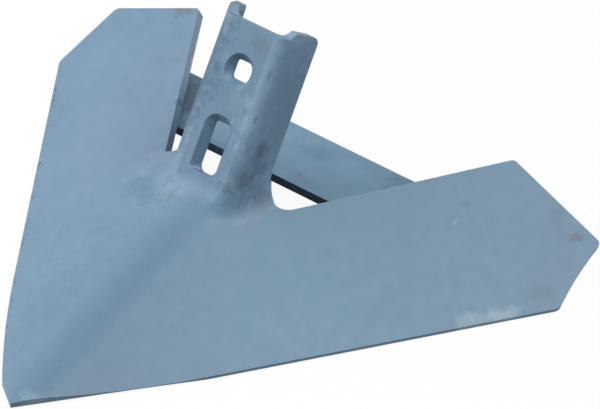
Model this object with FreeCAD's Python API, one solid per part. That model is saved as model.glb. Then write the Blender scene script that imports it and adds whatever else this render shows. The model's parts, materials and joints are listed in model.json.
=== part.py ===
import FreeCAD, Part
import math
import os
from FreeCAD import Placement, Rotation, Vector

# A sowing share: one pressed steel plate with two swept wings that rise from a common nose,
# a soft crown between them and an upright tongue whose sides are bent back into a channel.
# A flat crossbar is welded under the rear edges of the wings, behind the tongue.
# Millimetres, +Z up. The nose points to -Y and the wings mirror each other in X = 0.
# The share stands on its cutting edges at Z = 0, with the origin under its middle.
# While it is built the origin is the sharp point where the two cutting edges would meet.

# Plate and cutting edges
PLATE = 6.5                 # thickness of the pressed plate
EDGE_ANGLE = 33.7           # plan angle of a cutting edge to the line of travel, degrees
WING_LIFT = 28.0            # slope of a wing across its cutting edge, degrees
EDGE_LAND = 2.2             # upright face left on the cutting edge when it is ground below
CROWN_RADIUS = 50.0         # upper radius of the soft crown between the wings
NOSE_SETBACK = 18.0         # from the sharp point back to where the curved edges meet
NOSE_CURVE = 146.0          # length of cutting edge that curves in to the nose
NOSE_WEAR_RIGHT = 5.0       # how much of the right cutting edge is worn off at the nose
NOSE_WEAR_LEFT = 23.0       # and of the left one
NOSE_HOLLOW = 2.4           # depth of the long hollow worn under the edges behind the nose

# Outline of one wing in its own plane, along and across its cutting edge from the sharp point
EDGE_END = 381.0            # along: outer end of the cutting edge
EDGE_END_RADIUS = 5.0
TIP_ALONG = 420.5           # outermost corner
TIP_ACROSS = 39.0
TIP_RADIUS = 4.0
REAR_ALONG = 381.5          # outer rear corner
REAR_ACROSS = 107.5
REAR_RADIUS = 4.0
ROOT_ACROSS = 98.0          # blade width where the two rear edges would meet
SIDE_HOLLOW = 1.5           # depth of the hollow worn into the side edge of the right wing

# Tongue
TONGUE_ANGLE = 58.0         # slope of the tongue, degrees
TONGUE_FOOT = 171.0         # where the front of the tongue would reach the ground
TONGUE_LENGTH = 184.0       # from there up the slope to the top edge of the web
WEB_WIDTH = 51.0            # front of the channel between its bend corners
BEND_RADIUS = 10.0          # outer radius of the side bends
FLANGE_FOLD = 73.0          # how far the sides are bent back, degrees
FLANGE_DEPTH = 25.5         # depth of the channel from the front of the web
EAR_RISE = 5.5              # how much further up the flanges end than the web
EAR_LEAD = 4.0              # how far before the end of a bend the top edge starts to rise
EAR_RUN = 4.0               # length over which it rises
EAR_EASE = 2.0              # rounding where it starts
EAR_CORNER = 5.0            # rounding of the flanges' rear upper corners
BLEND_RADIUS = 26.0         # upper radius where the tongue and the wings run together

# Notches between the flanges and the rear edges of the wings
RIGHT_NOTCH_RISE = 48.0     # how far up the flange's edge it starts to widen
RIGHT_NOTCH_WIDENING = 1.5  # how much further along the wing's edge the flange ends
RIGHT_NOTCH_EASE = 80.0     # rounding where the flange starts to widen
RIGHT_NOTCH_RADIUS = 8.5    # rounding between flange and wing
LEFT_NOTCH_RISE = 30.0
LEFT_NOTCH_WIDENING = 4.0
LEFT_NOTCH_EASE = 20.0
LEFT_NOTCH_RADIUS = 1.0

# Bolt hole and slot in the web, measured down the slope from its top edge
BOLT_SQUARE = 13.2
BOLT_CORNER = 2.5
BOLT_HEAD = 23.0
HEAD_DEPTH = 4.8            # depth of both countersinks
HOLE_DROP = 31.2            # to the middle of the hole
SLOT_DROP = 62.0            # to the top of the slot's countersink
SLOT_LENGTH = 40.0
SLOT_NECK = 13.2
SLOT_CORNER = 5.0           # rounding at the foot of the neck
SLOT_SHOULDER = 5.0         # from the top of the countersink to the top of the neck

# Crossbar and its welds
BAR_WIDTH = 51.0
BAR_THICK = 6.5
BAR_FRONT = 268.5           # front edge, behind the sharp point
BAR_TUCK = 0.5              # how far its top lies below the rear edges of the wings
BAR_LAP = 8.0               # how far its ends reach under the wings
WELD_RADIUS = 4.0
WELD_INSET = 2.0            # bare stretch at each end of a weld

REACH = 460.0               # working size of solids that are trimmed later
OVERCUT = 1.0               # how far a countersink's cutter stands out in front of the web
SAME_PLACE = 0.001          # distance that counts as touching

edge_turn = math.radians(EDGE_ANGLE)
lift = math.radians(WING_LIFT)
tongue_turn = math.radians(TONGUE_ANGLE)
fold = math.radians(FLANGE_FOLD)
ridge_lift = math.atan(math.tan(lift) * math.sin(edge_turn))
roof_fall = math.asin(math.sin(lift) * math.cos(edge_turn))

RIGHT = Vector(1, 0, 0)
UP = Vector(0, 0, 1)
SHARP_POINT = Vector(0, 0, EDGE_LAND)
RIDGE = Vector(0, math.cos(ridge_lift), math.sin(ridge_lift))
ALONG_EDGE = Vector(math.sin(edge_turn), math.cos(edge_turn), 0)
ACROSS_WING = UP.cross(ALONG_EDGE) * math.cos(lift) + UP * math.sin(lift)
WING_NORMAL = ALONG_EDGE.cross(ACROSS_WING)
TONGUE_BASE = Vector(0, TONGUE_FOOT, 0)
TONGUE_UP = Vector(0, math.cos(tongue_turn), math.sin(tongue_turn))
TONGUE_BACK = Vector(0, math.sin(tongue_turn), -math.cos(tongue_turn))


def on_wing(along, across):
    """Point on the upper face of the near wing."""
    return SHARP_POINT + ALONG_EDGE * along + ACROSS_WING * across


def in_tongue(side, depth, drop):
    """Point in the tongue: to the right, back from its front and down from its top edge."""
    return TONGUE_BASE + RIGHT * side + TONGUE_BACK * depth + TONGUE_UP * (TONGUE_LENGTH - drop)


ROOT = on_wing(ROOT_ACROSS / math.tan(RIDGE.getAngle(ALONG_EDGE)), ROOT_ACROSS)
REAR_CORNER = on_wing(REAR_ALONG, REAR_ACROSS)
REAR_EDGE = (REAR_CORNER - ROOT).normalize()


def outline(points, radii):
    """Closed outline through the points, each corner rounded by its own radius."""
    ends = []
    edges = []
    for i, corner in enumerate(points):
        before = (points[i - 1] - corner).normalize()
        after = (points[(i + 1) % len(points)] - corner).normalize()
        if radii[i] == 0:
            ends.append((corner, corner))
            continue
        half = before.getAngle(after) / 2
        start = corner + before * (radii[i] / math.tan(half))
        end = corner + after * (radii[i] / math.tan(half))
        inward = (before + after).normalize()
        middle = corner + inward * (radii[i] / math.sin(half) - radii[i])
        edges.append(Part.Arc(start, middle, end).toShape())
        ends.append((start, end))
    for i in range(len(points)):
        edges.append(Part.LineSegment(ends[i - 1][1], ends[i][0]).toShape())
    return Part.Wire(Part.__sortEdges__(edges))


def prism(wire, travel):
    return Part.Face(wire).extrude(travel)


def mirrored(shape):
    return shape.mirror(Vector(0, 0, 0), RIGHT)


def roof():
    """Everything below the upper faces of the wings and the crown between them."""
    above_ridge = RIGHT.cross(RIDGE)
    start = SHARP_POINT - RIDGE * REACH / 2
    fall = above_ridge * -REACH * math.tan(roof_fall)
    floor = above_ridge * -REACH
    points = [start, start + RIGHT * REACH + fall, start + RIGHT * REACH + floor,
              start - RIGHT * REACH + floor, start - RIGHT * REACH + fall]
    return prism(outline(points, [CROWN_RADIUS, 0, 0, 0, 0]), RIDGE * 2 * REACH)


def tongue_core():
    """Block whose front and sides are the skin of the tongue, its sides leaning outward."""
    half = WEB_WIDTH / 2
    depth = REACH / 2
    flare = depth / math.tan(fold)
    points = [in_tongue(-half, 0, TONGUE_LENGTH), in_tongue(half, 0, TONGUE_LENGTH),
              in_tongue(half + flare, depth, TONGUE_LENGTH),
              in_tongue(-half - flare, depth, TONGUE_LENGTH)]
    return prism(outline(points, [BEND_RADIUS, BEND_RADIUS, 0, 0]), TONGUE_UP * REACH)


def on_both(edge, first, second):
    middle = Part.Vertex(edge.valueAt((edge.FirstParameter + edge.LastParameter) / 2))
    return all(middle.distToShape(shape.Shells[0])[0] < SAME_PLACE for shape in (first, second))


def pressed_form():
    """Wings, crown and tongue as one solid below the upper skin, run together by a blend."""
    room_end = 0.9 * REACH
    room = Part.makeBox(2 * REACH, REACH, 2 * REACH, Vector(-REACH, room_end - REACH, -REACH))
    wings = roof().common(room)
    tongue = tongue_core().common(room)
    form = wings.fuse(tongue).removeSplitter()
    seam = [edge for edge in form.Edges
            if on_both(edge, wings, tongue) and edge.CenterOfMass.y < room_end - SAME_PLACE]
    return form.makeFillet(BLEND_RADIUS, seam)


def plan_shape():
    """Upright prism over the plan of the cutting edges, which curve in to the blunt nose."""
    back = NOSE_CURVE - NOSE_SETBACK * math.cos(edge_turn)
    aside = NOSE_SETBACK * math.sin(edge_turn)
    radius = (back ** 2 + aside ** 2) / (2 * aside)
    nose = Vector(0, NOSE_SETBACK, 0)
    start = ALONG_EDGE * NOSE_CURVE
    centre = start + UP.cross(ALONG_EDGE) * radius
    bulge = centre + ((start + nose) * 0.5 - centre).normalize() * radius
    end = ALONG_EDGE * 2 * REACH
    half = [Part.Arc(nose, bulge, start).toShape(), Part.LineSegment(start, end).toShape(),
            Part.LineSegment(end, Vector(0, end.y, 0)).toShape()]
    edges = half + [mirrored(edge) for edge in half]
    block = prism(Part.Wire(Part.__sortEdges__(edges)), UP * REACH)
    nose_turn = edge_turn + 2 * math.atan(aside / back)
    right = nose + Vector(math.sin(nose_turn), math.cos(nose_turn), 0) * NOSE_WEAR_RIGHT
    left = nose + Vector(-math.sin(nose_turn), math.cos(nose_turn), 0) * NOSE_WEAR_LEFT
    beyond = (right - left).cross(UP)
    flat = Part.makePolygon([right * 2 - left, left * 2 - right, left * 2 - right + beyond,
                             right * 2 - left + beyond, right * 2 - left])
    return block.cut(prism(flat, UP * REACH))


def end_waste():
    """What is cut off beyond the outer end of the near wing."""
    beyond = REACH / 3
    end = on_wing(EDGE_END, 0)
    tip = on_wing(TIP_ALONG, TIP_ACROSS)
    below = end + (end - tip) / 4
    behind = REAR_CORNER - REAR_EDGE * beyond / 4
    points = [below, tip, REAR_CORNER, behind, behind + ACROSS_WING * beyond,
              tip + (ALONG_EDGE + ACROSS_WING) * beyond, below + ALONG_EDGE * beyond]
    wire = outline(points, [0, TIP_RADIUS, REAR_RADIUS, 0, 0, 0, 0])
    wire.translate(WING_NORMAL * -beyond / 2)
    return prism(wire, WING_NORMAL * beyond)


def side_hollow():
    """Long shallow hollow in the side edge of the near wing, from its rounding to the tip."""
    end = on_wing(EDGE_END, 0)
    tip = on_wing(TIP_ALONG, TIP_ACROSS)
    side = (tip - end).normalize()
    start = end + side * EDGE_END_RADIUS / 2
    radius = ((tip - start).Length ** 2 / 4 + SIDE_HOLLOW ** 2) / (2 * SIDE_HOLLOW)
    centre = (start + tip) * 0.5 + side.cross(WING_NORMAL) * (radius - SIDE_HOLLOW)
    return Part.makeCylinder(radius, 8 * PLATE, centre - WING_NORMAL * 4 * PLATE, WING_NORMAL)


def nose_hollow():
    """Long shallow hollow under both cutting edges, from the nose to where they run straight."""
    start = Vector(0, NOSE_SETBACK, 0)
    end = Vector(0, NOSE_CURVE * math.cos(edge_turn), 0)
    radius = ((end - start).Length ** 2 / 4 + NOSE_HOLLOW ** 2) / (2 * NOSE_HOLLOW)
    centre = (start + end) * 0.5 - UP * (radius - NOSE_HOLLOW)
    return Part.makeCylinder(radius, 2 * NOSE_CURVE, centre - RIGHT * NOSE_CURVE, RIGHT)


def notch_waste(rise, widening, ease, radius):
    """What lies behind the flange edges and on the inner side of the near wing's rear edge."""
    size = 2 * REACH
    wall = WING_NORMAL.cross(REAR_EDGE).normalize()
    flange_plane = in_tongue(0, FLANGE_DEPTH, 0)
    reach = (flange_plane - ROOT).dot(TONGUE_BACK) / REAR_EDGE.dot(TONGUE_BACK)
    corner = ROOT + REAR_EDGE * reach
    corner_line = TONGUE_BACK.cross(wall).normalize()
    inward = corner_line.cross(TONGUE_BACK)
    rearward = wall.cross(corner_line)
    points = [corner + rearward * widening, corner + inward * rise, corner + inward * size,
              corner + (inward + rearward) * size, corner + rearward * size]
    wire = outline(points, [radius, ease, 0, 0, 0])
    wire.translate(corner_line * -size)
    return prism(wire, corner_line * 2 * size)


def rear_waste():
    """What is cut out between the rear edges of the wings, with its own rounding at each side."""
    right = notch_waste(RIGHT_NOTCH_RISE, RIGHT_NOTCH_WIDENING, RIGHT_NOTCH_EASE,
                        RIGHT_NOTCH_RADIUS)
    left = notch_waste(LEFT_NOTCH_RISE, LEFT_NOTCH_WIDENING, LEFT_NOTCH_EASE, LEFT_NOTCH_RADIUS)
    return right.common(mirrored(left))


def top_waste():
    """What is cut off above the flanges of the tongue and round their rear upper corners."""
    beyond = REACH / 4
    points = [in_tongue(-WEB_WIDTH, FLANGE_DEPTH, TONGUE_LENGTH / 2),
              in_tongue(-WEB_WIDTH, FLANGE_DEPTH, -EAR_RISE),
              in_tongue(-WEB_WIDTH, -beyond, -EAR_RISE),
              in_tongue(-WEB_WIDTH, -beyond, -REACH),
              in_tongue(-WEB_WIDTH, beyond, -REACH),
              in_tongue(-WEB_WIDTH, beyond, TONGUE_LENGTH / 2)]
    return prism(outline(points, [0, EAR_CORNER, 0, 0, 0, 0]), RIGHT * 2 * WEB_WIDTH)


def web_waste():
    """What is cut off above the web, whose top edge rises to the flanges through the bends."""
    along_flange = RIGHT * math.cos(fold) + TONGUE_BACK * math.sin(fold)
    out_of_flange = RIGHT * math.sin(fold) - TONGUE_BACK * math.cos(fold)
    bend_centre = in_tongue(WEB_WIDTH / 2 - BEND_RADIUS * math.tan(fold / 2), BEND_RADIUS, 0)
    start = bend_centre - along_flange * EAR_LEAD
    past_end = start + (along_flange * EAR_RUN + TONGUE_UP * EAR_RISE) * 2
    inner = start - along_flange * REACH
    points = [inner, start, past_end, inner + TONGUE_UP * 2 * EAR_RISE]
    wire = outline(points, [0, EAR_EASE, 0, 0])
    wire.translate(out_of_flange * -REACH)
    near = prism(wire, out_of_flange * 2 * REACH)
    return near.common(mirrored(near))


def rounded_slot(width, top_drop, foot_drop, top_radius, foot_radius, depth):
    """Outline across the web at a depth, with its own radius at the top and at the foot."""
    half = width / 2
    points = [in_tongue(-half, depth, top_drop), in_tongue(half, depth, top_drop),
              in_tongue(half, depth, foot_drop), in_tongue(-half, depth, foot_drop)]
    return outline(points, [top_radius, top_radius, foot_radius, foot_radius])


def bolt_hole():
    """Square hole with rounded corners under a round countersink."""
    depth = HEAD_DEPTH + OVERCUT
    neck_radius = BOLT_SQUARE / 2
    taper = (BOLT_HEAD / 2 - neck_radius) / HEAD_DEPTH
    start = in_tongue(0, -OVERCUT, HOLE_DROP)
    cone = Part.makeCone(neck_radius + taper * depth, neck_radius, depth, start, TONGUE_BACK)
    neck = rounded_slot(BOLT_SQUARE, HOLE_DROP - BOLT_SQUARE / 2, HOLE_DROP + BOLT_SQUARE / 2,
                        BOLT_CORNER, BOLT_CORNER, 0)
    return cone.fuse(prism(neck, TONGUE_BACK * 2 * PLATE))


def bolt_slot():
    """Slot with a square foot, countersunk round its arched top and down both sides."""
    foot = SLOT_DROP + SLOT_LENGTH
    widening = (BOLT_HEAD - SLOT_NECK) / HEAD_DEPTH * OVERCUT
    rising = SLOT_SHOULDER / HEAD_DEPTH * OVERCUT
    top = rounded_slot(BOLT_HEAD + widening, SLOT_DROP - rising, foot,
                       BOLT_HEAD / 2, BOLT_CORNER, -OVERCUT)
    bottom = rounded_slot(SLOT_NECK, SLOT_DROP + SLOT_SHOULDER, foot, BOLT_CORNER, SLOT_CORNER,
                          HEAD_DEPTH)
    countersink = Part.makeLoft([top, bottom], True, True)
    neck = rounded_slot(SLOT_NECK, SLOT_DROP + SLOT_SHOULDER, foot, BOLT_CORNER, SLOT_CORNER, 0)
    return countersink.fuse(prism(neck, TONGUE_BACK * 2 * PLATE))


def rounded_edge_ends(plate):
    """Rounds the two outer ends of the cutting edges."""
    end = on_wing(EDGE_END, 0)
    corners = []
    for edge in plate.Edges:
        points = [Vector(abs(v.X), v.Y, v.Z) for v in edge.Vertexes]
        if all((point - end).Length < 2 * EDGE_LAND for point in points):
            corners.append(edge)
    return plate.makeFillet(EDGE_END_RADIUS, corners)


def share_body(form, inside):
    """The pressed plate: the form's skin, cut to outline, ground flat below and pierced."""
    plate = form.cut(inside).common(plan_shape())
    near_end = end_waste()
    for waste in (rear_waste(), top_waste(), web_waste(), near_end, mirrored(near_end)):
        plate = plate.cut(waste)
    plate = rounded_edge_ends(plate)
    for waste in (side_hollow(), nose_hollow(), bolt_hole(), bolt_slot()):
        plate = plate.cut(waste)
    return plate.removeSplitter()


def lower_rear_edge(at_y):
    """Point on the lower corner of the near wing's rear edge, at a distance behind the point."""
    start = ROOT - WING_NORMAL * PLATE
    return start + REAR_EDGE * ((at_y - start.y) / REAR_EDGE.y)


def bar_top():
    return lower_rear_edge(BAR_FRONT).z - BAR_TUCK


def bar_end(at_y):
    """Point in plan where the right end of the crossbar lies under the near wing."""
    outward = REAR_EDGE.cross(UP)
    outward.z = 0
    return lower_rear_edge(at_y) + outward.normalize() * BAR_LAP


def crossbar(inside):
    """Flat bar, its ends cut along the wings' rear edges and fitted to their undersides."""
    front = bar_end(BAR_FRONT)
    back = bar_end(BAR_FRONT + BAR_WIDTH)
    points = [Vector(front.x, BAR_FRONT, 0), Vector(back.x, BAR_FRONT + BAR_WIDTH, 0)]
    points += [Vector(-point.x, point.y, 0) for point in reversed(points)]
    wire = Part.makePolygon(points + [points[0]])
    wire.translate(UP * (bar_top() - BAR_THICK))
    return prism(wire, UP * BAR_THICK).common(inside)


def weld(plate, bar):
    """Bead in the corner between the bar's right end and the underside of the near wing."""
    front = bar_end(BAR_FRONT)
    back = bar_end(BAR_FRONT + BAR_WIDTH)
    drop = BAR_LAP * math.tan(lift)
    start = front - UP * drop
    run = back - UP * drop - start
    inset = run.normalize() * WELD_INSET
    length = (back - front).Length - 2 * WELD_INSET
    bead = Part.makeCylinder(WELD_RADIUS, length, start + inset, run)
    return bead.cut(plate).cut(bar)


form = pressed_form()
inside = form.makeOffsetShape(-PLATE, SAME_PLACE)
plate = share_body(form, inside)
bar = crossbar(inside)
near_weld = weld(plate, bar)
nodes = {"share_body": plate, "crossbar": bar, "weld_right": near_weld,
         "weld_left": mirrored(near_weld)}

box = plate.optimalBoundingBox()
middle = Vector(0, (box.YMin + box.YMax) / 2, 0)
os.makedirs("parts", exist_ok=True)
for name, shape in nodes.items():
    shape.translate(middle * -1)
    shape.exportStep("parts/" + name + ".step")
    print(name, "solids", len(shape.Solids), "valid", shape.isValid(), "volume", round(shape.Volume))
print("overall", round(box.XLength, 1), round(box.YLength, 1), round(box.ZLength, 1))
print("built ahead of the origin by", round(middle.y, 3))
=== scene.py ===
# %% [markdown]
# # A sowing share, dressed for the camera
# A sowing share is the winged foot of a seeder or cultivator. It is pressed from one thick
# steel plate, gets a flat crossbar welded under its wings and is painted. The solid model
# already has the exact shape, so this lesson loads it, gives each piece a convincing surface,
# replaces the plain weld beads by rippled ones and sets up a camera and lamps for a picture of
# it.

# %% Load the solid model
import json
import math
import bmesh
import bpy
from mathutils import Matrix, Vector

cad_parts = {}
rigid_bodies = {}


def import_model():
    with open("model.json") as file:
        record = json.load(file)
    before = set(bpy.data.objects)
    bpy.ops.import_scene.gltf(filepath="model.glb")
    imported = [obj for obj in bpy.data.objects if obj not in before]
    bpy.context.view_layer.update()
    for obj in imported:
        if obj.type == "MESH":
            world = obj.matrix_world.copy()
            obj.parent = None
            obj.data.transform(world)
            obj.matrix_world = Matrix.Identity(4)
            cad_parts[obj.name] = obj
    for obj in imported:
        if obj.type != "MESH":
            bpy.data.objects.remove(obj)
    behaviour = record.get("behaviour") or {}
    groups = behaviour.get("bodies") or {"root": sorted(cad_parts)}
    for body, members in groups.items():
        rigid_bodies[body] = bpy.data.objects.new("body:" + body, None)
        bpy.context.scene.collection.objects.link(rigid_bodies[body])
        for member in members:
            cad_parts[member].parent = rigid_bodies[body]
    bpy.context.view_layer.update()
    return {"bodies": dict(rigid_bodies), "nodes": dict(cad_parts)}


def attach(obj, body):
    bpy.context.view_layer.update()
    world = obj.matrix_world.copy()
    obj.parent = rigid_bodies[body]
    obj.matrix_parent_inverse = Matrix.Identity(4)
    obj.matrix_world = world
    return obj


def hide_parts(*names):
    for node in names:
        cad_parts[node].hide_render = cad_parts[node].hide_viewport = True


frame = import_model()
body = list(frame["bodies"])[0]
print("nodes:", sorted(frame["nodes"]), "on body", body)

# %% [markdown]
# ## Millimetres and colours
# The maker of this part thinks in millimetres and Blender works in metres, so one named value
# turns the one into the other. Colours are written as the hex codes that a paint shop uses.
# Shaders calculate in linear light, so one function converts every code.

# %% Millimetres and colours
MM = 0.001


def linear(code):
    """Linear RGBA of an sRGB hex code such as 7d98ae."""
    channels = [int(code[i:i + 2], 16) / 255 for i in (0, 2, 4)]
    return [c / 12.92 if c < 0.04 else ((c + 0.055) / 1.055) ** 2.4 for c in channels] + [1.0]


print("paint in linear light:", [round(c, 3) for c in linear("7d98ae")])

# %% [markdown]
# ## The camera
# The picture is taken from the share's right front and from well above it, through a long
# lens from four metres away. The camera's place is worked out from the two angles, so that
# they can be read and changed. It looks straight at a point near the middle of the share.

# %% Camera
AROUND = math.radians(39.09)
ABOVE = math.radians(37.59)
DISTANCE = 4000 * MM
AIM = Vector((36.74, 71.893, 30.0)) * MM
FILM_WIDTH = 36  # Blender wants this one and the next in millimetres
FOCAL_LENGTH = 371.43

backwards = Vector((math.sin(AROUND) * math.cos(ABOVE), -math.cos(AROUND) * math.cos(ABOVE),
                    math.sin(ABOVE)))
lens = bpy.data.cameras.new("long_lens")
lens.sensor_width = FILM_WIDTH
lens.lens = FOCAL_LENGTH
camera = bpy.data.objects.new("camera", lens)
camera.location = AIM + backwards * DISTANCE
camera.rotation_euler = backwards.to_track_quat("Z", "Y").to_euler()
bpy.context.scene.collection.objects.link(camera)
bpy.context.scene.camera = camera
print("camera stands at", [round(c, 3) for c in camera.location])

# %% [markdown]
# ## Adding shader nodes
# A material is a small net of nodes. The first function adds one node, sets its options, and
# fills its inputs with plain numbers or with the outputs of earlier nodes. The second starts
# a material with an empty net, so that nothing is in it that this lesson doesn't name.

# %% Adding nodes and starting a material
def add(tree, kind, options=None, **inputs):
    """Adds a node. An input is named by its label, or by its number after an s, as in s0."""
    node = tree.nodes.new("ShaderNode" + kind)
    for name, value in (options or {}).items():
        setattr(node, name, value)
    for name, value in inputs.items():
        numbered = name[0] == "s" and name[1:].isdigit()
        socket = node.inputs[int(name[1:]) if numbered else name.replace("_", " ")]
        if isinstance(value, bpy.types.NodeSocket):
            tree.links.new(value, socket)
        else:
            socket.default_value = value
    return node


def new_material(name):
    """A material, its net and the net's last node, which is the only one in it so far."""
    material = bpy.data.materials.new(name)
    material.use_nodes = True
    material.node_tree.nodes.clear()
    print("started the material", name)
    return material, material.node_tree, material.node_tree.nodes.new("ShaderNodeOutputMaterial")


# %% [markdown]
# ## The floor
# The share lies on a plain white floor. To the camera, and to a sheen, the floor is nearly
# pure white, with enough plain white left in it to keep a soft shadow. Every other ray meets
# a mid grey, so that the floor lights the share from below no more than a workbench would.

# %% Floor
FLOOR_REACH = 6  # metres from its middle to each side
FLOOR_GAP = 0.3 * MM  # just below the share, so that the two never lie in one plane
SELF_LIT = 0.94  # the part of the floor's white that needs no lamp

floor_mesh = bpy.data.meshes.new("floor")
shape = bmesh.new()
bmesh.ops.create_grid(shape, x_segments=1, y_segments=1, size=FLOOR_REACH)
bmesh.ops.translate(shape, verts=shape.verts, vec=(0, 0, -FLOOR_GAP))
shape.to_mesh(floor_mesh)
shape.free()
floor = bpy.data.objects.new("floor", floor_mesh)
bpy.context.scene.collection.objects.link(floor)

white_floor, tree, output = new_material("white_studio_floor")
ray = add(tree, "LightPath")
seen = add(tree, "Math", {"operation": "MAXIMUM"}, s0=ray.outputs["Is Camera Ray"],
           s1=ray.outputs["Is Glossy Ray"])
matt = add(tree, "BsdfDiffuse", Color=linear("f4f4f4"))
glow = add(tree, "Emission", Color=linear("ffffff"), Strength=1.0)
bright = add(tree, "MixShader", s0=SELF_LIT, s1=matt.outputs[0], s2=glow.outputs[0])
bench = add(tree, "BsdfDiffuse", Color=linear("808080"))
mixed = add(tree, "MixShader", s0=seen.outputs[0], s1=bench.outputs[0], s2=bright.outputs[0])
tree.links.new(mixed.outputs[0], output.inputs["Surface"])
floor_mesh.materials.append(white_floor)
print("floor", [round(side, 1) for side in floor.dimensions], "m")

# %% [markdown]
# ## The lamps
# Two square softboxes light the share. The key hangs high on its right, so that the tongue
# shades the left part of the crossbar. The fill stands low in front on its left, opposite
# the key. It gives the left wing its light and leaves the crown between the wings a little
# darker.

# %% Lamps
def soft_lamp(name, place, size, power):
    """A square lamp that faces the share: its place and side in metres, its power in watts."""
    lamp = bpy.data.lights.new(name, "AREA")
    lamp.size = size
    lamp.energy = power
    holder = bpy.data.objects.new(name, lamp)
    holder.location = place
    holder.rotation_euler = Vector(place).to_track_quat("Z", "Y").to_euler()
    bpy.context.scene.collection.objects.link(holder)


soft_lamp("key_right", place=(1.157, 0.137, 2.21), size=1.3, power=38)
soft_lamp("fill_left_front", place=(-1.626, -0.69, 0.939), size=1.7, power=39)

# %% [markdown]
# ## The surround
# A studio's walls send back a little light from all sides. The surround is dim, so that the
# shadows stay readable without going black, and yet the camera sees it as pure white.

# %% Surround
WALL_LIGHT = 0.16

surround = bpy.data.worlds.new("studio")
bpy.context.scene.world = surround
surround.use_nodes = True
tree = surround.node_tree
tree.nodes.clear()
output = tree.nodes.new("ShaderNodeOutputWorld")
ray = add(tree, "LightPath")
dim = add(tree, "Background", Color=linear("ffffff"), Strength=WALL_LIGHT)
white = add(tree, "Background", Color=linear("ffffff"), Strength=1.0)
mixed = add(tree, "MixShader", s0=ray.outputs["Is Camera Ray"], s1=dim.outputs[0],
            s2=white.outputs[0])
tree.links.new(mixed.outputs[0], output.inputs["Surface"])
bpy.context.scene.view_settings.view_transform = "Standard"
print("the surround gives", WALL_LIGHT, "of full white")

# %% [markdown]
# ## The enamel
# Every piece is hot-pressed or rolled steel, dipped in thin grey-blue enamel. Dipped enamel
# is never one flat colour. It clouds over a hand's width and mottles over a fingertip, its
# sheen comes and goes, and it follows the scale and the soft waves of the steel below it.
# A picture of paint would stretch where the plate bends. Noise fills space evenly, so it has
# its right size on every face. It reads the Object coordinates, which are metres, so a
# pattern as wide as one millimetre has a scale of 1 / MM. One function lays this base coat,
# and each piece then gets its own marks on top.

# %% The base coat
CLOUD_WIDTH = 70 * MM
MOTTLE_WIDTH = 9 * MM
WAVE_WIDTH, WAVE_HEIGHT = 26 * MM, 0.2 * MM
# Real orange peel is under a millimetre wide and would not show, so it is drawn wider.
PEEL_WIDTH, PEEL_HEIGHT = 2.5 * MM, 0.05 * MM
GLOSSIEST, DULLEST = 0.40, 0.52  # roughness of the enamel


def base_coat(tree, place, thick, thin):
    """Colour, roughness and relief of the enamel, from its codes where it's thick and thin."""
    clouds = add(tree, "TexNoise", Vector=place, Scale=1 / CLOUD_WIDTH, Detail=2.0)
    mottle = add(tree, "TexNoise", Vector=place, Scale=1 / MOTTLE_WIDTH, Detail=4.0,
                 Roughness=0.6)
    both = add(tree, "Mix", Factor=0.45, s2=clouds.outputs["Fac"], s3=mottle.outputs["Fac"])
    spread = add(tree, "MapRange", Value=both.outputs[0], From_Min=0.25, From_Max=0.75)
    colour = add(tree, "Mix", {"data_type": "RGBA"}, Factor=spread.outputs[0],
                 s6=linear(thick), s7=linear(thin))
    sheen = add(tree, "MapRange", Value=mottle.outputs["Fac"], From_Min=0.3, From_Max=0.7,
                To_Min=GLOSSIEST, To_Max=DULLEST)
    waves = add(tree, "TexNoise", Vector=place, Scale=1 / WAVE_WIDTH, Detail=1.0)
    swell = add(tree, "Bump", Strength=0.5, Distance=WAVE_HEIGHT, Height=waves.outputs["Fac"])
    peel = add(tree, "TexNoise", Vector=place, Scale=1 / PEEL_WIDTH, Detail=1.0)
    relief = add(tree, "Bump", Strength=0.25, Distance=PEEL_HEIGHT, Height=peel.outputs["Fac"],
                 Normal=swell.outputs[0])
    return colour.outputs[2], sheen.outputs[0], relief.outputs[0]


print("the steel waves every", round(WAVE_WIDTH / MM), "mm, under clouds of",
      round(CLOUD_WIDTH / MM), "mm")

# %% [markdown]
# ## Marks
# A share that has lain in a shed carries smears of rust and grease, rubbed spots, and places
# where a hook or another share scuffed it. They could be painted by hand on an unrolled
# picture of the plate. A list of them is shorter, and each can be read and moved. A mark is
# an egg-shaped region: the length from its middle, counted in its own reach, says how far
# out a point lies. Noise is added to that length, which tears the mark's outline.
# Some of the marks below are painted shade or painted light instead, and their comments say so.

# %% A mark
TEAR = 2.2  # how strongly the noise moves an outline
FULL_TO, GONE_AT = 0.35, 1.35  # a mark fades between these, counted in its own reach


def ragged_noise(tree, place, size):
    """Noise from about -0.5 to 0.5 that tears outlines apart, at a size in millimetres."""
    noise = add(tree, "TexNoise", Vector=place, Scale=1 / (size * MM), Detail=5.0,
                Roughness=0.65, Distortion=0.4)
    return add(tree, "Math", {"operation": "SUBTRACT"}, s0=noise.outputs["Fac"],
               s1=0.5).outputs[0]


def region(tree, place, middle, reach, ragged, strength):
    """The strength inside a ragged egg-shaped region, fading to 0 outside it."""
    away = add(tree, "VectorMath", {"operation": "SUBTRACT"}, s0=place,
               s1=[c * MM for c in middle])
    scaled = add(tree, "VectorMath", {"operation": "DIVIDE"}, s0=away.outputs[0],
                 s1=[r * MM for r in reach])
    far = add(tree, "VectorMath", {"operation": "LENGTH"}, s0=scaled.outputs[0])
    torn = add(tree, "Math", {"operation": "MULTIPLY_ADD"}, s0=ragged, s1=TEAR,
               s2=far.outputs["Value"])
    return add(tree, "MapRange", {"interpolation_type": "SMOOTHSTEP"}, Value=torn.outputs[0],
               From_Min=FULL_TO, From_Max=GONE_AT, To_Min=strength, To_Max=0.0).outputs[0]


def lay_marks_and_shade(tree, place, colour, ragged, marks):
    """The colour with each mark of a list laid over it."""
    for middle, reach, strength, code in marks:
        mask = region(tree, place, middle, reach, ragged, strength)
        colour = add(tree, "Mix", {"data_type": "RGBA"}, Factor=mask, s6=colour,
                     s7=linear(code)).outputs[2]
    return colour


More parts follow.
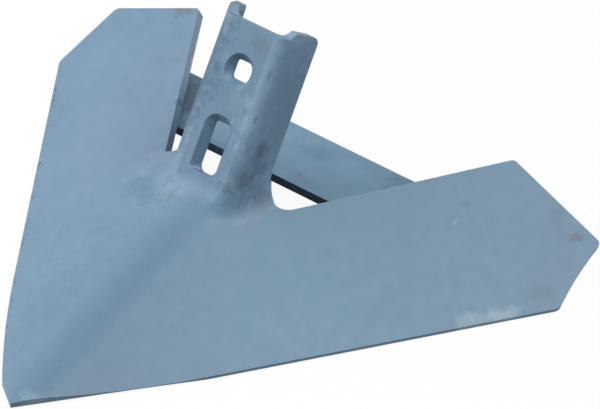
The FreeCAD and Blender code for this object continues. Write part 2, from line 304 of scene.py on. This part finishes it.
print("a mark fades out between", FULL_TO, "and", GONE_AT, "of its reach")

# %% [markdown]
# ## The plate's marks
# Each line is one mark: its middle and its reach in millimetres, how strong it is and its
# colour. The first eight are wide or long and are painted light and shade: they lighten or
# darken whole faces and bends as the light falls on them. The others are small; most are
# stains and wear, and a few are painted shade. A later mark lies on top of an earlier one.

# %% The plate's marks
PLATE_MARKS = [
    ((2, -95, 28), (50, 106, 48), 0.32, "5f7f99"),      # painted shade along the crown
    ((-32, 55, 122), (19, 40, 66), 0.85, "4c6e87"),     # painted shade on the left bend of the tongue, over the lamp's sheen there
    # more painted shade on the same bend
    ((-25, 54, 122), (4, 40, 60), 0.35, "41647d"),
    ((0, 60, 132), (46, 34, 44), 0.36, "5c7f99"),       # painted shade on the tongue's upper half
    ((33, 60, 116), (6, 40, 46), 0.45, "5d768b"),       # painted shade on its right side, darker towards the outer edge
    ((115, 35, 26), (150, 170, 60), 0.32, "6592ac"),    # painted shade on the right wing, which takes out some of its sheen
    ((-110, 80, 35), (110, 150, 50), 0.30, "8092aa"),   # painted sheen on the left wing, lighter and greyer
    ((21, 54, 124), (5, 40, 66), 0.58, "92b0c7"),       # painted highlight along the right bend
    ((-144, 171, 47), (12, 7, 6), 0.55, "707379"),      # brown smear, left wing's rear corner
    ((-78, 90, 49), (3, 6, 4), 0.60, "4f5f6c"),         # grease at that wing's rear edge
    ((-57, 24, 43), (11, 7, 6), 0.18, "98a3c2"),        # pink bloom left of the foot
    ((-50, 35, 49), (10, 8, 7), 0.32, "98a3c2"),
    ((-18, 8, 57), (9, 7, 7), 0.40, "5d7d96"),          # painted shade over a lamp's sheen in front of it
    # thicker enamel in front of it
    ((-46, 8, 43), (15, 9, 7), 0.40, "5f7f9a"),
    ((-33, 2, 47), (12, 7, 6), 0.40, "5c7d96"),
    ((8, 66, 148), (8, 6, 6), 0.50, "64747f"),          # brown thumb marks on the tongue
    ((13, 63, 143), (4, 4, 4), 0.45, "6f7f9c"),
    ((-19, 37, 101), (3, 3, 3), 0.50, "4f6b82"),
    ((29, 42, 87), (7, 7, 7), 0.80, "56616b"),          # grease in the right bend
    ((31, 37, 78), (7, 9, 8), 0.60, "50687e"),
    ((27, 27, 72), (7, 7, 7), 0.60, "576570"),
    ((34, 33, 62), (8, 10, 8), 0.50, "5a6d7d"),
    ((39, 33, 55), (4, 9, 6), 0.45, "506a7f"),
    ((40, 21, 49), (9, 7, 5), 0.25, "7b8799"),
    ((28, 82, 154), (8, 11, 6), 0.30, "93abc0"),        # right ear of the tongue, knocked
    ((-116, 151, 45), (9, 14, 3.5), 0.65, "a0b5c9"),    # sheared edge of the left wing, lighter
    ((-104, 132, 44.5), (9, 14, 3.5), 0.80, "a4b9cd"),
    ((-90, 111, 44), (9, 14, 3.5), 0.55, "9ab0c4"),
    ((22, 59, 134), (0.8, 3, 4), 0.55, "4c657a"),       # nicks along the right bend
    ((23, 43, 108), (0.8, 3, 4), 0.55, "4c657a"),
    ((6, 45, 113), (9, 6, 8), 0.22, "8fabbf"),          # rubbed light between hole and slot
    ((17, 40, 104), (6, 5, 9), 0.35, "94afc2"),
    ((-23, 79, 154), (6, 10, 7), 0.50, "93a5b8"),       # left ear, knocked nearly bare
    ((15, 11, 62), (8, 5, 6), 0.25, "92adc4"),          # rubbed light below the slot
    ((20, 20, 73), (8, 5, 4), 0.25, "93aec3"),          # and beside it
    ((-12, 56, 134), (8, 5, 6), 0.35, "8aa6bb"),        # and beside the hole
    ((129, 128, 41), (4, 4, 3), 0.40, "5f7f96"),        # small spots on the right wing
    ((131, 114, 37), (2, 3, 2), 0.50, "9db6c8"),
    ((86, 40, 35), (8, 4, 4), 0.30, "63829b"),
    ((191, 163, 24), (3.5, 5, 4), 0.75, "5f6e77"),      # brown streak near the right tip
    ((182, 160, 27), (14, 9, 8), 0.30, "6b8298"),
    ((174, 166, 32), (6, 5, 4), 0.35, "63798c"),
    ((199, 119, 8), (7, 10, 6), 0.50, "697e92"),        # dull smudge at the right tip
    ((196, 146, 16), (4, 6, 5), 0.30, "71829a"),
    ((174.5, 69.5, 4), (7, 7, 6), 0.55, "9cb5c8"),      # worn places at the right cutting edge
    ((180, 77.5, 4), (7, 7, 6), 0.50, "9cb5c8"),
    ((186.5, 87, 4), (7, 7, 6), 0.75, "9cb5c8"),
    ((191.5, 95.5, 4), (6, 6, 6), 0.60, "9cb5c8"),
    ((14, -163, 4), (16, 6, 4), 0.50, "9fb7ca"),        # nose, rubbed by the soil
]
print("marks on the plate:", len(PLATE_MARKS))

# %% [markdown]
# ## Worn edges with a painted highlight, and chips
# Paint goes first where two faces meet. Nobody wants to paint every edge by hand, and the
# Bevel node finds them: it gives the normal that the surface would have if its edges were
# rounded. Where that differs from the true normal there is an edge, so their dot product
# makes a mask, and noise breaks it up. Close to the ground, along the left wing's cutting
# edge, the soil has also bitten small dark chips out of the paint.
# The lighter colour along the edges is worn enamel and also a painted highlight, where a rounded
# edge would catch the light.

# %% Edge and chip masks
PLATE_WEAR_AND_GLINT, BAR_WEAR_AND_GLINT = 1.1, 0.9  # how far wear and a painted highlight reach from an edge, in millimetres
WORN_AND_LIT_EDGE = "a3b9cb"  # enamel at a worn edge, lighter also as a painted highlight where the edge catches the light
CHIP_HEIGHT = 7  # millimetres above the ground
CHIPS_BEGIN, CHIPS_FULL = 20 * MM, -40 * MM  # across the share, from right to left


def edge_mask(tree, wear_and_glint, ragged, strength):
    """The strength along edges, as far as they are worn and take a painted highlight, broken up
    by noise.
    """
    rounded = add(tree, "Bevel", {"samples": 6}, Radius=wear_and_glint * MM)
    true = add(tree, "NewGeometry")
    likeness = add(tree, "VectorMath", {"operation": "DOT_PRODUCT"}, s0=rounded.outputs[0],
                   s1=true.outputs["Normal"])
    edge = add(tree, "MapRange", Value=likeness.outputs["Value"], From_Min=0.97, From_Max=0.80,
               To_Min=0.0, To_Max=strength)
    broken = add(tree, "MapRange", Value=ragged, From_Min=-0.12, From_Max=0.06, To_Min=0.2)
    return add(tree, "Math", {"operation": "MULTIPLY"}, s0=edge.outputs[0],
               s1=broken.outputs[0]).outputs[0]


def chip_mask(tree, place, height, ragged, patchy):
    """1 in specks on the left, lower than a height in millimetres above the ground."""
    where = add(tree, "SeparateXYZ", Vector=place)
    low = add(tree, "MapRange", Value=where.outputs["Z"], From_Min=0.4 * height * MM,
              From_Max=height * MM, To_Min=0.35, To_Max=-0.1)
    noise = add(tree, "Math", {"operation": "MULTIPLY_ADD"}, s0=patchy, s1=0.8, s2=ragged)
    speck = add(tree, "Math", {"operation": "MULTIPLY_ADD"}, s0=low.outputs[0], s1=0.5,
                s2=noise.outputs[0])
    chip = add(tree, "MapRange", Value=speck.outputs[0], From_Min=0.27, From_Max=0.33)
    left = add(tree, "MapRange", Value=where.outputs["X"], From_Min=CHIPS_BEGIN,
               From_Max=CHIPS_FULL)
    return add(tree, "Math", {"operation": "MULTIPLY"}, s0=left.outputs[0],
               s1=chip.outputs[0]).outputs[0]


print("edges are worn", PLATE_WEAR_AND_GLINT, "mm wide on the plate and", BAR_WEAR_AND_GLINT, "mm on the bar")

# %% [markdown]
# ## The pressed plate
# The plate is the big piece: two wings, the crown between them and the tongue. Its material
# is built up in the order in which the real surface came about. First come the enamel and
# its marks. Two noises are made for all that follows. The coarse one tears the outlines of
# marks, which are as wide as a finger, and the fine one those of the painted shade in the
# countersinks, of wear and of chips.

# %% The plate's enamel and marks
pressed, tree, output = new_material("enamelled_pressed_steel")
place = add(tree, "TexCoord").outputs["Object"]
coarse = ragged_noise(tree, place, 7)
fine = ragged_noise(tree, place, 1.8)
colour, sheen, relief = base_coat(tree, place, "6b8aa4", "7999b3")
colour = lay_marks_and_shade(tree, place, colour, coarse, PLATE_MARKS)
print("nodes for the plate's enamel and marks:", len(tree.nodes))

# %% [markdown]
# ## Scratches on the tongue
# The tine's clamp slid over the right of the tongue and left long light scratches there.
# Noise that is squeezed in one direction makes hundreds of them at once. A Mapping node
# turns the coordinates by the tongue's slope, and they are then divided by a scratch's width
# across the tongue and by its length along it.

# %% Scratches
SLOPE = math.radians(58)  # of the tongue
SCRATCH_WIDTH, SCRATCH_LENGTH = 2.4 * MM, 10 * MM

turned = add(tree, "Mapping", Vector=place, Rotation=(-SLOPE, 0, 0))
squeezed = add(tree, "VectorMath", {"operation": "MULTIPLY"}, s0=turned.outputs[0],
               s1=(1 / SCRATCH_WIDTH, 1 / SCRATCH_LENGTH, 1 / SCRATCH_LENGTH))
grain = add(tree, "TexNoise", Vector=squeezed.outputs[0], Scale=1.0, Detail=4.0,
            Distortion=1.2)
lines = add(tree, "MapRange", Value=grain.outputs["Fac"], From_Min=0.50, From_Max=0.66)
clamped = region(tree, place, (14, 42, 106), (10, 16, 34), coarse, 0.45)
scratch = add(tree, "Math", {"operation": "MULTIPLY"}, s0=lines.outputs[0], s1=clamped)
colour = add(tree, "Mix", {"data_type": "RGBA"}, Factor=scratch.outputs[0], s6=colour,
             s7=linear("a4bccf")).outputs[2]
print("scratches are", round(SCRATCH_LENGTH / SCRATCH_WIDTH, 1), "times as long as wide")

# %% [markdown]
# ## Folds round the foot
# Round the foot of the tongue the press drew the steel into fine folds. They are not modelled,
# so their creases are painted as darker lines, which is painted shade. The lines are the
# contour lines of a noise: where it comes close to 0.5, it crosses its middle height, and that
# happens along thin winding lines.

# %% Folds
FOLD_WIDTH, FOLD_LENGTH = 10 * MM, 26 * MM
FOLDED = [((-30, 6, 48), (26, 16, 14)), ((26, 24, 66), (22, 18, 18))]  # middle and reach

drawn_out = add(tree, "VectorMath", {"operation": "MULTIPLY"}, s0=place,
                s1=(1 / FOLD_WIDTH, 1 / FOLD_LENGTH, 1 / FOLD_LENGTH))
height = add(tree, "TexNoise", Vector=drawn_out.outputs[0], Scale=1.0, Detail=1.0,
             Distortion=0.8)
above_middle = add(tree, "Math", {"operation": "SUBTRACT"}, s0=height.outputs["Fac"], s1=0.5)
from_line = add(tree, "Math", {"operation": "ABSOLUTE"}, s0=above_middle.outputs[0])
crease = add(tree, "MapRange", Value=from_line.outputs[0], From_Min=0.005, From_Max=0.03,
             To_Min=1.0, To_Max=0.0)
# each folded place gets darker lines, painted shade of its creases
for middle, reach in FOLDED:
    here = region(tree, place, middle, reach, coarse, 0.45)
    fold_shade = add(tree, "Math", {"operation": "MULTIPLY"}, s0=crease.outputs[0], s1=here)
    colour = add(tree, "Mix", {"data_type": "RGBA"}, Factor=fold_shade.outputs[0], s6=colour,
                 s7=linear("4a667e")).outputs[2]
print("folded places:", len(FOLDED))

# %% [markdown]
# ## Painted shade in the countersinks
# Shade is painted below the face of the tongue, in the upper left of the hole's countersink
# and of the slot's. A dot product with the direction straight into the steel gives each
# point's depth below that face, so the painted shade ends exactly at the rim.

# %% Painted shade in the countersinks
FACE_POINT = (0, 41.6, 108)  # any point on the face of the tongue, in millimetres
SHADED_SINKS = [  # middle, reach and strength
    ((-7, 61, 138), (10, 9, 13), 0.50),
    ((-3, 27, 84), (14, 18, 27), 0.38),
]

from_face = add(tree, "VectorMath", {"operation": "SUBTRACT"}, s0=place,
                s1=[c * MM for c in FACE_POINT])
depth = add(tree, "VectorMath", {"operation": "DOT_PRODUCT"}, s0=from_face.outputs[0],
            s1=(0, math.sin(SLOPE), -math.cos(SLOPE)))
sunk = add(tree, "MapRange", {"interpolation_type": "SMOOTHSTEP"}, Value=depth.outputs["Value"],
           From_Min=0.1 * MM, From_Max=0.9 * MM)
for middle, reach, strength in SHADED_SINKS:
    here = region(tree, place, middle, reach, fine, strength)
    sink_shade = add(tree, "Math", {"operation": "MULTIPLY"}, s0=sunk.outputs[0], s1=here)
    colour = add(tree, "Mix", {"data_type": "RGBA"}, Factor=sink_shade.outputs[0], s6=colour,
                 s7=linear("3f5a72")).outputs[2]
print("dirty rims:", len(SHADED_SINKS))

# %% [markdown]
# ## Wear, chips and sheen of the plate
# The worn edges, with their painted highlight, and the chips lie on top of everything. A chip
# has lost its gloss, and the left bend dried dull, so both are rougher. One Principled
# shader then takes the colour, the roughness and the relief.

# %% The plate's surface
# Lighter edges: partly worn enamel, partly a painted highlight.
worn_and_lit = edge_mask(tree, PLATE_WEAR_AND_GLINT, fine, 0.6)
colour = add(tree, "Mix", {"data_type": "RGBA"}, Factor=worn_and_lit, s6=colour,
             s7=linear(WORN_AND_LIT_EDGE)).outputs[2]
chips = chip_mask(tree, place, CHIP_HEIGHT, fine, coarse)
colour = add(tree, "Mix", {"data_type": "RGBA"}, Factor=chips, s6=colour,
             s7=linear("4a5763")).outputs[2]
dull = region(tree, place, (-27, 54, 122), (14, 54, 80), coarse, 0.22)
dried = add(tree, "Math", {"operation": "ADD"}, s0=sheen, s1=dull)
chipped = add(tree, "Math", {"operation": "MULTIPLY_ADD", "use_clamp": True}, s0=chips, s1=0.25,
              s2=dried.outputs[0])
skin = add(tree, "BsdfPrincipled", Base_Color=colour, Roughness=chipped.outputs[0],
           Normal=relief)
tree.links.new(skin.outputs[0], output.inputs["Surface"])
print("nodes in the plate's material:", len(tree.nodes))

# %% [markdown]
# ## The crossbar
# The bar is cut from rolled flat steel and took the enamel more evenly, with faint lines
# along its length from the rolls. The plate's material has no such lines, so the bar gets
# its own. Its marks are painted shade and painted light: darker at its left end, where the
# left wing shades it, and beside and behind the tongue, lighter where the lamps reach it, and
# darker at its right end, under the right wing.

# %% The bar's enamel and marks
ROLL_LENGTH, ROLL_WIDTH = 90 * MM, 2.2 * MM  # of a line that the rolls left
BAR_SHADE_AND_LIGHT = [
    ((-83, 98, 44), (24, 31, 7), 0.70, "46525d"),  # painted shadow of the left wing at the bar's left end
    ((92, 110, 44), (14, 22, 7), 0.45, "56656f"),  # darker at the right end, under the right wing
    ((30, 78, 44), (14, 7, 4), 0.35, "6a8096"),    # painted shade beside the tongue
    # painted shade behind the tongue, which leans over the bar
    ((20, 108, 44), (16, 9, 5), 0.30, "61788d"),
    ((50, 106, 44), (16, 10, 5), 0.35, "86a8c2"),  # painted light where the lamps reach the bar
    # more painted light
    ((-36, 87, 44), (22, 15, 5), 0.48, "8eb0cb"),
]

flat, tree, output = new_material("enamelled_rolled_flat_bar")
place = add(tree, "TexCoord").outputs["Object"]
coarse = ragged_noise(tree, place, 9)
fine = ragged_noise(tree, place, 1.8)
colour, sheen, relief = base_coat(tree, place, "708fa6", "7e9db5")
squeezed = add(tree, "VectorMath", {"operation": "MULTIPLY"}, s0=place,
               s1=(1 / ROLL_LENGTH, 1 / ROLL_WIDTH, 1 / ROLL_WIDTH))
rolled = add(tree, "TexNoise", Vector=squeezed.outputs[0], Scale=1.0, Detail=2.0)
lines = add(tree, "MapRange", Value=rolled.outputs["Fac"], From_Min=0.45, From_Max=0.75,
            To_Max=0.30)
colour = add(tree, "Mix", {"data_type": "RGBA"}, Factor=lines.outputs[0], s6=colour,
             s7=linear("6d8ba2")).outputs[2]
colour = lay_marks_and_shade(tree, place, colour, coarse, BAR_SHADE_AND_LIGHT)
print("marks on the bar:", len(BAR_SHADE_AND_LIGHT))

# %% [markdown]
# ## Painted shade on the sheared edges of the bar
# The bar's long edges were sheared. They lie in the shade of the plate, so they are painted
# almost black, which is painted shade, and they are rougher than the rest. They are the faces
# that look forwards or backwards, and the Y of the true normal finds them.

# %% The bar's surface
# Lighter edges: partly worn enamel, partly a painted highlight.
worn_and_lit = edge_mask(tree, BAR_WEAR_AND_GLINT, fine, 0.35)
colour = add(tree, "Mix", {"data_type": "RGBA"}, Factor=worn_and_lit, s6=colour,
             s7=linear(WORN_AND_LIT_EDGE)).outputs[2]
facing = add(tree, "SeparateXYZ", Vector=add(tree, "NewGeometry").outputs["True Normal"])
lengthwise = add(tree, "Math", {"operation": "ABSOLUTE"}, s0=facing.outputs["Y"])
edge_face_shade = add(tree, "MapRange", Value=lengthwise.outputs[0], From_Min=0.6, From_Max=0.9,
              To_Max=0.92)
colour = add(tree, "Mix", {"data_type": "RGBA"}, Factor=edge_face_shade.outputs[0], s6=colour,
             s7=linear("0b2744")).outputs[2]
rougher = add(tree, "Math", {"operation": "MULTIPLY_ADD", "use_clamp": True},
              s0=edge_face_shade.outputs[0], s1=0.4, s2=sheen)
skin = add(tree, "BsdfPrincipled", Base_Color=colour, Roughness=rougher.outputs[0],
           Normal=relief)
tree.links.new(skin.outputs[0], output.inputs["Surface"])
print("nodes in the bar's material:", len(tree.nodes))

# %% [markdown]
# ## Painting the plate and the bar
# Both pieces have their exact shape already, so they stay as they are and only their
# material slots are filled.

# %% Give the solid pieces their materials
for name, material in (("share_body", pressed), ("crossbar", flat)):
    node = frame["nodes"][name]
    if not node.material_slots:
        node.data.materials.append(None)
    for slot in node.material_slots:
        slot.material = material
    print(name, "faces", len(node.data.polygons))

# %% [markdown]
# ## The enamel on a weld
# A weld is dipped with the share, but the enamel runs off its ripples and soot from the
# torch shows through. The soot is patches of coarse noise.

# %% Painted weld
bead_material, tree, output = new_material("enamelled_weld_bead")
place = add(tree, "TexCoord").outputs["Object"]
coarse = ragged_noise(tree, place, 5)
colour, sheen, relief = base_coat(tree, place, "64829a", "7b99b1")
soot = add(tree, "MapRange", Value=coarse, From_Min=-0.05, From_Max=0.2, To_Max=0.6)
colour = add(tree, "Mix", {"data_type": "RGBA"}, Factor=soot.outputs[0], s6=colour,
             s7=linear("4c565f")).outputs[2]
skin = add(tree, "BsdfPrincipled", Base_Color=colour, Roughness=sheen, Normal=relief)
tree.links.new(skin.outputs[0], output.inputs["Surface"])
print("nodes in the weld's material:", len(tree.nodes))

# %% [markdown]
# ## A rippled bead
# A weld bead is steel that was laid down drop by drop, so its surface is a row of ripples,
# about one for each two millimetres. The solid model has a plain round bead, and a bump
# would leave its outline plain. So here a circle is extruded in short steps, and each new
# ring is scaled a little larger or smaller, which makes the ripples and rounds off both ends.

# %% A rippled bead
BEAD_RADIUS = 3.95 * MM
RIPPLE = 2.2 * MM
STEP = 0.5 * MM
RIPPLE_DEPTH, TIP_RADIUS = 0.1, 0.12  # both counted in bead radii


def bead_width(at, length):
    """The bead's radius at a place along it, from its ripples and its rounded ends."""
    from_end = min(at, length - at)
    ends = math.sqrt(max(0.0, 1 - max(0.0, 1 - from_end / BEAD_RADIUS) ** 2))
    ripples = 1 - RIPPLE_DEPTH + RIPPLE_DEPTH * abs(math.sin(math.pi * at / RIPPLE))
    return BEAD_RADIUS * max(TIP_RADIUS, ends) * ripples


def weld_bead(length):
    """A rippled bead that stands upright on the origin, as a bmesh."""
    bead = bmesh.new()
    ring = bmesh.ops.create_circle(bead, cap_ends=True, segments=24,
                                   radius=bead_width(0, length))["verts"]
    edges = [e for e in bead.edges if all(v in ring for v in e.verts)]
    at = 0
    while at + STEP < length:
        grown = bmesh.ops.extrude_edge_only(bead, edges=edges)["geom"]
        ring = [g for g in grown if isinstance(g, bmesh.types.BMVert)]
        edges = [g for g in grown if isinstance(g, bmesh.types.BMEdge)]
        ratio = bead_width(at + STEP, length) / bead_width(at, length)
        bmesh.ops.translate(bead, verts=ring, vec=(0, 0, STEP))
        bmesh.ops.scale(bead, verts=ring, vec=(ratio, ratio, 1))
        at += STEP
    bmesh.ops.contextual_create(bead, geom=edges)
    return bead


print("a ripple is", round(RIPPLE / STEP, 1), "rings long")

# %% [markdown]
# ## The two welds
# The seam runs along the end of the crossbar, under the right wing. The bead is turned into
# its direction and starts a little way in, and the left weld is its mirror image. A mirrored
# mesh is inside out, so the normals are worked out again. Each bead then rides on the share
# and stands for the plain solid bead.

# %% Put the beads on their seams
SEAM_FRONT = Vector((72.972, 67.578, 40.525)) * MM
SEAM_BACK = Vector((104.583, 118.578, 41.587)) * MM
SEAM_INSET = 2 * MM


def place_bead(name, node, mirrored):
    """Builds a bead, puts it on its seam and lets it stand for the plain solid one."""
    bead = weld_bead((SEAM_BACK - SEAM_FRONT).length - 2 * SEAM_INSET)
    run = (SEAM_BACK - SEAM_FRONT).normalized()
    turn = run.to_track_quat("Z", "Y").to_matrix()
    bmesh.ops.rotate(bead, verts=bead.verts, cent=(0, 0, 0), matrix=turn)
    bmesh.ops.translate(bead, verts=bead.verts, vec=SEAM_FRONT + run * SEAM_INSET)
    if mirrored:
        bmesh.ops.scale(bead, verts=bead.verts, vec=(-1, 1, 1))
    bmesh.ops.recalc_face_normals(bead, faces=bead.faces)
    for face in bead.faces:
        face.smooth = True
    mesh = bpy.data.meshes.new(name)
    bead.to_mesh(mesh)
    bead.free()
    mesh.materials.append(bead_material)
    piece = bpy.data.objects.new(name, mesh)
    bpy.context.scene.collection.objects.link(piece)
    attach(piece, body)
    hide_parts(node)
    print(name, "faces", len(mesh.polygons), "on", node)


place_bead("weld_bead_right", "weld_right", mirrored=False)
place_bead("weld_bead_left", "weld_left", mirrored=True)
